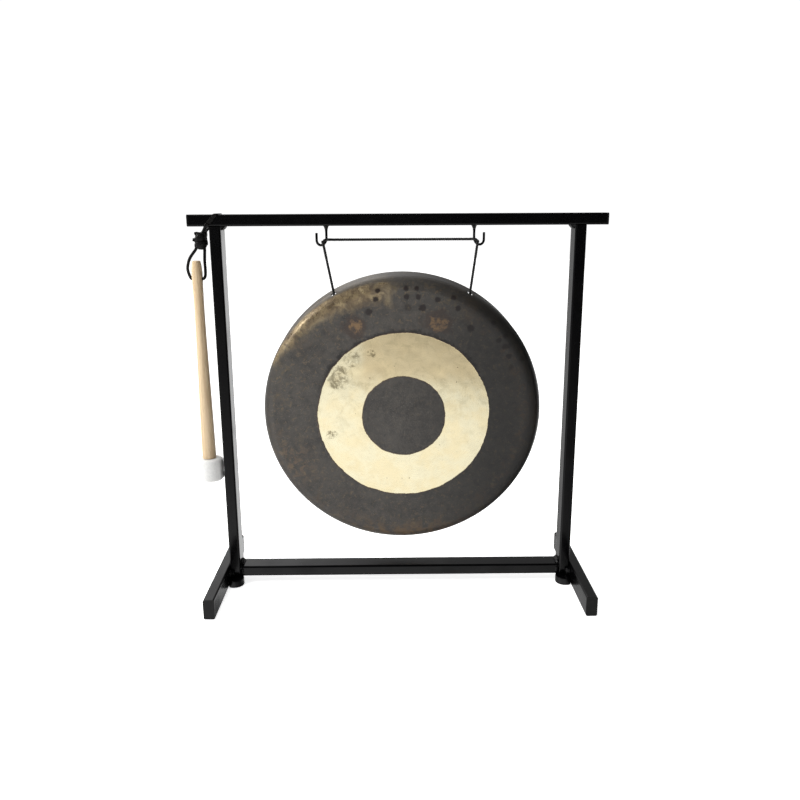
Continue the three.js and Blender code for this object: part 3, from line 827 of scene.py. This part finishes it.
def build_hook_cone(node, top):
    low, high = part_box(node)
    height = high.z - low.z
    flare = (high.x - low.x) / 2 - WIRE
    sides = [(WIRE + 0.12 * MM + flare * (i / 12) ** 2.2, -height * (1 - i / 12)) for i in range(13)]
    points, faces = turned([(0.0, -height)] + sides + [(0.0, 0.0)], 28)
    for p in points:
        ragged = 1 + 0.10 * jitter(p, 1.6 * MM, top.x)
        p.x *= ragged
        p.y *= ragged
    cone = mesh_piece(node.replace("weld", "bead"), [p + top for p in points], faces, PAINT, "black_paint")
    stand_in(cone, "stand", node)


# ---- gong


def hole_in_gong(sign):
    """A cord hole's centre and the skin's normal there, in the gong's own frame."""
    radius = GONG_RADIUS - SHOULDER * (1 - math.sin(HOLE_STATION))
    depth = SHOULDER * (1 - math.cos(HOLE_STATION))
    outward = Vector((sign * math.sin(HOLE_ANGLE), 0, math.cos(HOLE_ANGLE)))
    normal = outward * math.sin(HOLE_STATION) - Vector((0, 1, 0)) * math.cos(HOLE_STATION)
    return outward * radius + Vector((0, depth, 0)), normal


def gong_profile():
    """(radius, depth) of the sheet's closed outline, from the face's middle round the rim and back."""
    corner = (GONG_RADIUS - SHOULDER, SHOULDER)
    back = GONG_RADIUS - TAPER
    face = [(corner[0] * (i / 60) ** 0.92, 0.0) for i in range(60)]
    outer = arc(corner, SHOULDER, -90, 0, 24)
    rim = between(outer[-1], (back, GONG_DEPTH), 12)
    lip = arc((back - SHEET / 2, GONG_DEPTH - SHEET / 2), SHEET / 2, 0, 180, 8)
    inner = arc(corner, SHOULDER - SHEET, 0, -90, 24)
    inner_rim = between(lip[-1], inner[0], 12)
    back_face = [(r, SHEET) for r, _ in reversed(face[1:])]
    return face + outer + rim + lip + inner_rim + inner + back_face + [(0.0, SHEET)]


def build_gong():
    """The hammered sheet: slow waves and hammer marks over the face, and a rim that isn't quite round."""
    points, faces = turned(gong_profile(), 280)
    shaped = []
    for p in points:
        # turned() works about Z; the gong's axis is Y, with its depth behind the face
        x, z, depth = p.x, p.y, p.z
        radius = math.hypot(x, z)
        flat = Vector((x, z, 0.0))
        fade = min(1.0, (GONG_RADIUS - radius) / (12 * MM)) if depth < SHOULDER else 0.0
        wave = fade * waves(flat, ((0.22, 55, 1.0), (0.055, 13, 4.0), (0.03, 7, 9.0)))
        turn = math.atan2(x, z)
        ring = Vector((math.cos(turn), math.sin(turn), depth / (30 * MM)))
        out = 0.35 * MM * jitter(ring, 0.8, 2.0) * max(0.0, (radius - 120 * MM) / (32 * MM))
        grow = 1 + out / max(radius, 1e-6)
        shaped.append(Vector((x * grow, depth + wave, z * grow)))
    gong = mesh_piece("gong_bowl", shaped, faces, BRONZE, "bronze")
    drill(gong, "bronze", HOLE_RADIUS, 7 * SHEET, [hole_in_gong(sign) for _, sign in SIDES])
    gong.matrix_world = GONG_PLACE
    stand_in(gong, "gong", "gong")


# ---- cord


CORD_RADIUS = 1.4 * MM
CORD_TWIST = 7 * MM              # length of one full turn of the cord's three strands


def rope_section(i, run):
    """Three plied strands, turning along the cord."""
    ring = []
    for k in range(18):
        turn = 2 * math.pi * k / 18
        lobe = abs(math.cos(1.5 * (turn - 2 * math.pi * run / CORD_TWIST)))
        radius = CORD_RADIUS * (0.80 + 0.22 * lobe)
        ring.append((radius * math.cos(turn), radius * math.sin(turn)))
    return ring


def cord_body(knots, spacing, closed=False):
    path = smooth_path(knots, spacing, closed)
    return skin(swept(path, rope_section, cord_guide(path), closed), closed)


def cord_guide(path):
    """A side direction for each point of the path that turns as little as it can along the way."""
    count = len(path)
    guides = []
    guide = Vector((0, 1, 0.2)).normalized()
    for i in range(count):
        ahead = (path[(i + 1) % count] - path[i - 1]).normalized()
        guide = (guide - ahead * guide.dot(ahead)).normalized()
        guides.append(guide)
    return lambda i: guides[i]


def build_cord():
    """One loop of cord: over both hooks, down through the gong's holes and across behind its face."""
    span = middle_of("cord_top_span")
    back = middle_of("cord_back_span")
    halves = []
    for side, sign in SIDES:
        strand = f"cord_strand_{side}"
        low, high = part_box(strand)
        lower_x = side_x(strand, -sign) + sign * CORD_RADIUS
        upper_x = side_x(strand, sign) - sign * CORD_RADIUS
        upper = Vector((upper_x, low.y + CORD_RADIUS, high.z - 1.2 * MM))
        hole = GONG_PLACE @ hole_in_gong(sign)[0] + Vector((0, 0, HOLE_RADIUS - CORD_RADIUS - 0.1 * MM))
        shank = shank_at(side, sign)
        shank.z = span.z
        inner = Vector((shank.x, span.y, span.z))
        halves.append([
            back + mm(sign * 45, 0, 0),
            Vector((lower_x, back.y, back.z)) + mm(-sign * 6, 0, 0.3),
            hole + (hole - upper).normalized() * 4.5 * MM,
            hole,
            hole.lerp(upper, 0.5),
            upper,
            shank + mm(sign * 3.9, -2.2, -2.9),
            shank + mm(sign * 2.4, -2.4, -0.8),
            shank + mm(sign * 0.4, -2.0, 0.2),
            inner + mm(-sign * 4, 0, 0.1),
            inner + mm(-sign * 12, 0, 0),
        ])
    points, faces = cord_body(halves[0] + halves[1][::-1], 0.55 * MM, closed=True)
    cord = mesh_piece("gong_cord", points, faces, CORD, "cord")
    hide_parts("cord_top_span", "cord_strand_left", "cord_strand_right", "cord_back_span")
    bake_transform(cord)


def build_cord_knot():
    """An overhand stopper tied where the cord's two ends meet, with two short cut tails."""
    middle = middle_of("cord_knot")
    size = 1.25 * MM
    knots = []
    for k in range(24):
        t = 2 * math.pi * k / 24
        knots.append(middle + Vector((
            -math.sin(3 * t) * size * 0.9,
            (math.sin(t) + 2 * math.sin(2 * t)) * size * 0.78,
            (math.cos(t) - 2 * math.cos(2 * t)) * size * 0.78,
        )))
    body = cord_body(knots, 0.4 * MM, closed=True)
    for sign in (-1, 1):
        tail = [mm(sign * 1.0, -1.0, 0.5), mm(sign * 2.6, 2.2, -2.6), mm(sign * 3.8, 3.6, -6.0)]
        add_body(body, cord_body([middle + p for p in tail], 0.4 * MM))
    knot = mesh_piece("cord_stopper", *body, CORD, "cord")
    fuse(knot, 0.22 * MM)
    stand_in(knot, "cord", "cord_knot")


# ---- mallet


HANDLE = middle_of("mallet_handle")
HANDLE_LOW, HANDLE_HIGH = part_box("mallet_handle")
HOLE_Z = hinge_at("mallet_swing").z


def build_handle():
    """A long tapered handle with a softened tip and a drilled lace hole."""
    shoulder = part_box("mallet_felt")[1].z + 0.3 * MM
    tip = HANDLE_HIGH.z
    # radius in millimetres and height in metres
    stations_up = (
        (7.6, shoulder), (7.55, shoulder + 6 * MM), (7.4, 0.168), (6.75, 0.212), (5.9, 0.256), (5.3, 0.301),
        (5.35, 0.325), (5.7, 0.3475), (5.6, 0.353), (5.1, 0.3585), (4.6, 0.3612),
    )
    knots = [Vector((radius * MM, 0, z)) for radius, z in stations_up]
    outline = [(p.x, p.z) for p in smooth_path(knots, 1.6 * MM)]
    tip_round = arc((outline[-1][0] - 1.4 * MM, tip - 1.4 * MM), 1.4 * MM, 20, 90, 6)
    profile = [(0.0, HANDLE_LOW.z), (4.5 * MM, HANDLE_LOW.z), (4.5 * MM, shoulder)]
    points, faces = turned(profile + outline + tip_round + [(0.0, tip)], 64)
    for p in points:
        wobble = 1 + 0.006 * jitter((math.atan2(p.y, p.x), p.z / (30 * MM), 0), 1.0, 5.0)
        p.x *= wobble
        p.y *= wobble
    placed = [p + Vector((HANDLE.x, HANDLE.y, 0)) for p in points]
    handle = mesh_piece("turned_handle", placed, faces, MAPLE, "handle_wood")
    bore = Vector((HANDLE.x, HANDLE.y, HOLE_Z))
    drill(handle, "handle_wood", 2 * MM, 10 * MM, [(bore, Vector((1, 0, 0)))])
    shade_smooth(handle)
    stand_in(handle, "mallet", "mallet_handle")


def build_felt():
    """A thick drum of felt with rounded edges and soft clumps, hollowed for the core."""
    low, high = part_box("mallet_felt")
    core_low, core_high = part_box("mallet_core")
    middle = (low + high) / 2
    radius = (high.x - low.x) / 2
    bore = 5.2 * MM
    core = 10.3 * MM
    gap = 0.3 * MM
    rounding = 3.6 * MM
    flat = radius - rounding
    side_low = low.z + rounding
    side_high = high.z - rounding
    profile = [(r * flat / 14, low.z) for r in range(14)]
    profile += arc((flat, side_low), rounding, -90, 0, 10)
    profile += [(radius, side_low + (side_high - side_low) * i / 16) for i in range(1, 16)]
    profile += arc((flat, side_high), rounding, 0, 90, 10)
    profile += [(flat - (flat - bore) * i / 9, high.z) for i in range(1, 10)]
    profile += [(bore, high.z - 1.2 * MM), (bore, core_high.z + gap), (core, core_high.z + gap)]
    profile += [(core, core_low.z - gap), (0.0, core_low.z - gap)]
    points, faces = turned(profile, 120)
    shaped = []
    for p in points:
        place = p.copy()
        past_core = p.z < core_low.z - 1.5 * gap or p.z > core_high.z + 1.5 * gap
        if past_core or math.hypot(p.x, p.y) > core + 0.2 * MM:
            lump = waves(p, ((0.45, 7, 1.0), (0.22, 2.2, 2.0), (0.12, 0.9, 6.0))) - 0.25 * MM
            place += Vector((p.x, p.y, (p.z - middle.z) * 1.4)).normalized() * lump
        shaped.append(place + Vector((middle.x, middle.y, 0)))
    stand_in(mesh_piece("felt_head", shaped, faces, FELT, "felt"), "mallet", "mallet_felt")


# ---- leather lace


LACE_SLANT = 0.85
LACE_WRAP = 0.8 * MM             # the lace's thickness where it is pulled tight round the bar
BAR_MIDDLE = (BAR_LOW.z + BAR_HIGH.z) / 2


def strap_section(width, thick, twist=0.0):
    """A flat lace's section in millimetres: a rounded bar that may turn as it runs."""
    def section(i, run):
        turn = twist * run
        ring = []
        for k in range(16):
            a = 2 * math.pi * k / 16
            u = math.copysign(abs(math.cos(a)) ** 0.6, math.cos(a)) * width * MM / 2
            v = math.copysign(abs(math.sin(a)) ** 0.6, math.sin(a)) * thick * MM / 2
            ring.append((u * math.cos(turn) - v * math.sin(turn), u * math.sin(turn) + v * math.cos(turn)))
        return ring
    return section


def strap(knots, spacing, section, guide, closed=False):
    path = smooth_path(knots, spacing * MM, closed)
    return skin(swept(path, section, Vector(guide), closed), closed)


def lace_turn(wrap_x, out_y, out_z):
    """The slanting turn round the bar."""
    round_off = 2 * MM
    knots = []
    for sy, sz, start in ((1, 1, 0), (-1, 1, 90), (-1, -1, 180), (1, -1, 270)):
        middle = (sy * (out_y - round_off), sz * (out_z - round_off))
        for y, z in arc(middle, round_off, start, start + 90, 6):
            knots.append(Vector((wrap_x + LACE_SLANT * z, STAND.y + y, BAR_MIDDLE + z)))
    return strap(knots, 0.8, strap_section(4.2, LACE_WRAP / MM), (1, 0, 0), closed=True)


def build_lace():
    """The lace's fixed end: a slanting turn round the bar, two necks down to a bulky knot, and a tail."""
    knot_low, knot_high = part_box("lace_knot")
    knot = (knot_low + knot_high) / 2 - mm(0.3, 0, 0.9)
    half = (knot_high - knot_low) / 2
    wrap_x = middle_of("lace_wrap").x
    clear = 0.15 * MM + LACE_WRAP / 2
    out_y = (BAR_HIGH.y - BAR_LOW.y) / 2 + clear
    out_z = (BAR_HIGH.z - BAR_LOW.z) / 2 + clear
    body = lace_turn(wrap_x, out_y, out_z)

    def in_knot(x, y, z):
        return knot + Vector((x * half.x, y * half.y, z * half.z))

    # necks from the bar's front and back lower edges into the knot's top right
    for sy in (-1, 1):
        edge = Vector((wrap_x - LACE_SLANT * out_z, STAND.y + sy * out_y, BAR_MIDDLE - out_z))
        mouth = Vector((knot.x, STAND.y, knot_high.z))
        neck = [
            edge + mm(2.6, 0, 3.2),
            edge + mm(0.4, -sy * 0.6, 0.2),
            Vector((edge.x - 2.4 * MM, STAND.y + sy * 6.5 * MM, knot_high.z + 0.8 * MM)),
            mouth + mm(2.4, sy * 2.6, -3.0),
            mouth + mm(0.4, sy * 1.0, -7.0),
        ]
        add_body(body, strap(neck, 0.7, strap_section(4.6, 1.9), (1, 0, 0.5)))

    # the knot: a filled core, two slanting turns round it, a strand down its right side and a cut end
    core = (
        (0, -0.93), (0.45, -0.90), (0.72, -0.68), (0.82, -0.2),
        (0.86, 0.3), (0.80, 0.72), (0.5, 0.93), (0, 0.97),
    )
    points, faces = turned([(r * half.x, z * half.z) for r, z in core], 24)
    add_body(body, ([knot + Vector((p.x, p.y * half.y / half.x, p.z)) for p in points], faces))
    for height, tilt, phase in ((0.42, 0.34, 0.3), (-0.34, 0.16, 1.1)):
        coil = []
        for k in range(20):
            a = 2 * math.pi * k / 20
            reach = 0.84 + 0.05 * math.sin(2 * a + phase)
            lift = height + tilt * math.cos(a + phase * 0.3)
            coil.append(in_knot(reach * math.cos(a), reach * math.sin(a), lift))
        add_body(body, strap(coil, 0.8, strap_section(4.8, 1.8), (0, 0, 1), closed=True))
    riser = ((0.62, -0.45, 1.02), (0.78, -0.35, 0.55), (0.82, -0.2, 0.02), (0.66, 0, -0.45), (0.42, 0, -0.80))
    top_left = ((0.2, -0.2, 0.72), (-0.5, -0.25, 0.84), (-0.88, -0.2, 0.80))
    tail = ((-0.2, -0.3, 0.02), (-0.85, -0.4, 0.14), (-1.16, -0.4, 0.16))
    for knots, spacing, width, thick, guide in (
        (riser, 0.8, 2.8, 2.6, (0, 1, 0)),
        (top_left, 0.6, 3.2, 2.0, (0, 0.4, 1)),
        (tail, 0.6, 3.4, 2.0, (0, 0.5, 1)),
    ):
        add_body(body, strap([in_knot(*k) for k in knots], spacing, strap_section(width, thick), guide))

    lace = mesh_piece("lace_knotted", *body, LEATHER, "lace")
    fuse(lace, 0.32 * MM)
    for vertex in lace.data.vertices:
        vertex.co += vertex.normal * 0.10 * MM * jitter(vertex.co, 1.8 * MM, 3.0)
    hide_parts("lace_wrap", "lace_knot")
    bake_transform(lace)


def build_loop():
    """The lace's free end: a teardrop that hangs from the knot and passes through the handle's hole."""
    low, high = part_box("mallet_loop")
    half_width = max(HANDLE.x - low.x, high.x - HANDLE.x) - 1.2 * MM
    knot = Vector((middle_of("lace_knot").x, HANDLE.y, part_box("lace_knot")[0].z))
    hole = Vector((HANDLE.x, HANDLE.y, HOLE_Z))
    left = hole - Vector((half_width, 0, 0))
    right = hole + Vector((half_width, 0, 0))
    knots = (
        (knot, -4.0, 4.5), (knot, -6.2, 0.4), (left, 4.0, 22.5), (left, 1.2, 15.5), (left, 0.6, 9.5),
        (left, 2.2, 3.4), (hole, -5.4, 0.3), (hole, 0, 0), (hole, 5.4, 0.3), (right, -1.8, 2.4),
        (right, -1.0, 8.5), (right, -1.1, 19), (knot, 2.9, 0.6), (knot, 2.6, 4.5),
    )
    path = [start + mm(x, 0, z) for start, x, z in knots]
    points, faces = strap(path, 0.6, strap_section(2.2, 3.0, 8.0), (0, 1, 0))
    loop = mesh_piece("lace_loop", points, faces, LEATHER, "lace")
    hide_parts("mallet_loop")
    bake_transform(loop)


# ---- stage


FLOOR_RADIUS = 6.0
PAPER_EDGE = -0.413              # sine of the elevation at which the sheet's near edge is mirrored


def build_floor():
    """Pale, softly lit paper that is left out of reflections: the world holds the room's own."""
    paper = bpy.data.materials.new("floor")
    look = Graph(paper, "ShaderNodeOutputMaterial", "Object")
    seen = look.node("ShaderNodeLightPath", {}, "Is Camera Ray")
    diffuse = look.node("ShaderNodeBsdfDiffuse", {"Color": (0.88, 0.88, 0.875)})
    glow = look.node("ShaderNodeEmission", {"Strength": look.mix(seen, 0.45, 0.8)})
    look.feed(look.surface, look.node("ShaderNodeAddShader", {0: diffuse, 1: glow}))
    points = [(x, y, -0.2 * MM) for x, y in circle(FLOOR_RADIUS, 96)]
    floor = mesh_piece("floor", points, [tuple(range(len(points)))], paper, "black_paint")
    del floor["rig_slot"]
    floor.visible_glossy = False


def build_world():
    """White to the camera, even and soft as a light, and a room with a bright sheet in reflections."""
    world = bpy.data.worlds.new("studio")
    bpy.context.scene.world = world
    sky = Graph(world, "ShaderNodeOutputWorld", "Generated")
    x, y, z = sky.split(sky.place)

    # soft light, brightest from above and behind, and from the left
    light = (y.ramp(-0.55, 0.35, 0.10, 0.85) + z.ramp(0.1, 0.9, 0.0, 0.55)) * x.ramp(-0.6, 0.5, 1.42, 0.0)

    # the camera's side: a white sheet up to its near edge, then the dim room; darker on the right
    blur = sky.larger(x, 0.0) * 0.16 + 0.012
    on_sheet = sky.calc("ADD", (PAPER_EDGE - z) / blur, 0.5, clamp=True)
    room = z.ramp(-0.04, -0.30, 0.04, 0.40) + z.ramp(-0.31, -0.405, 0.0, 0.48)
    room = room * x.ramp(0.02, -0.08, 1.0, 1.5)
    near = on_sheet * z.ramp(-0.44, -0.54, 1.32, 1.04) + (1.0 - on_sheet) * room
    near = near * x.ramp(0.13, 0.20, 1.0, 0.5)

    # the far side: dark at the horizon, lighter up to the left, and bright paper below it
    above = z.ramp(0.10, 0.32) * x.ramp(-0.17, 0.0, 1.1, 0.42) * x.ramp(0.02, 0.16, 1.0, 0.62)
    under_foot = z.ramp(-0.425, -0.465, 1.0, 0.06)
    below = z.ramp(0.0, -0.015) * x.ramp(-0.15, 0.15, 0.45, 1.55)
    below = below * sky.larger(under_foot, x.ramp(0.0, -0.1))
    far = above + 0.02 + below

    # right round: darker to the right, lighter to the left, and a bright window high on the left
    side = y.ramp(-0.08, 0.08)
    window = y.band(-0.30, 0.20, 0.04) * z.band(0.26, 0.62, 0.04) * x.ramp(-0.4, -0.6, 0.0, 5.0)
    mirrored = ((1.0 - side) * near + side * far) * x.ramp(0.45, 0.85, 1.0, 0.40)
    mirrored = mirrored + x.ramp(-0.6, -0.9, 0.0, 0.25) + window

    seen = sky.node("ShaderNodeLightPath", {}, "Is Camera Ray")
    glossy = sky.node("ShaderNodeLightPath", {}, "Is Glossy Ray")
    strength = sky.mix(seen, sky.mix(glossy, light, mirrored), 1.05)
    white = (1.0, 1.0, 1.0)
    sky.feed(sky.surface, sky.node("ShaderNodeBackground", {"Color": white, "Strength": strength}))


def soft_light(name, place, target, size, power):
    data = bpy.data.lights.new(name, "AREA")
    data.shape = "RECTANGLE"
    data.size, data.size_y = size
    data.energy = power
    light = bpy.data.objects.new(name, data)
    bpy.context.scene.collection.objects.link(light)
    light.location = place
    light.visible_glossy = False
    light.rotation_euler = (Vector(target) - Vector(place)).to_track_quat("-Z", "Y").to_euler()


def build_studio():
    build_floor()
    build_world()
    soft_light("key", (-1.5, -0.5, 1.05), (0, 0, 0.22), (0.7, 0.7), 19)
    soft_light("top", (-0.2, 0.25, 1.5), (0, 0, 0.2), (1.2, 0.9), 11)


CAMERA_FOCAL_LENGTH = 34.58      # mm on a 36 mm sensor
CAMERA_FROM_STAND = Vector((-0.00596, -0.8152, 0.4146))
CAMERA_PITCH = 0.2438            # radians below the horizon
CAMERA_YAW = -0.0086
CAMERA_ROLL = 0.0048


def build_camera():
    data = bpy.data.cameras.new("camera")
    data.sensor_width = 36
    data.lens = CAMERA_FOCAL_LENGTH
    data.clip_start = 0.01
    camera = bpy.data.objects.new("camera", data)
    bpy.context.scene.collection.objects.link(camera)
    camera.matrix_world = (
        Matrix.Translation(STAND + CAMERA_FROM_STAND)
        @ Matrix.Rotation(CAMERA_YAW, 4, "Z")
        @ Matrix.Rotation(math.pi / 2 - CAMERA_PITCH, 4, "X")
        @ Matrix.Rotation(-CAMERA_ROLL, 4, "Z")
    )
    bpy.context.scene.camera = camera


finish_stand()
build_welds()
build_hooks()
build_gong()
build_cord()
build_cord_knot()
build_handle()
build_felt()
build_lace()
build_loop()
build_studio()
build_camera()
bpy.context.scene.view_settings.view_transform = "Standard"
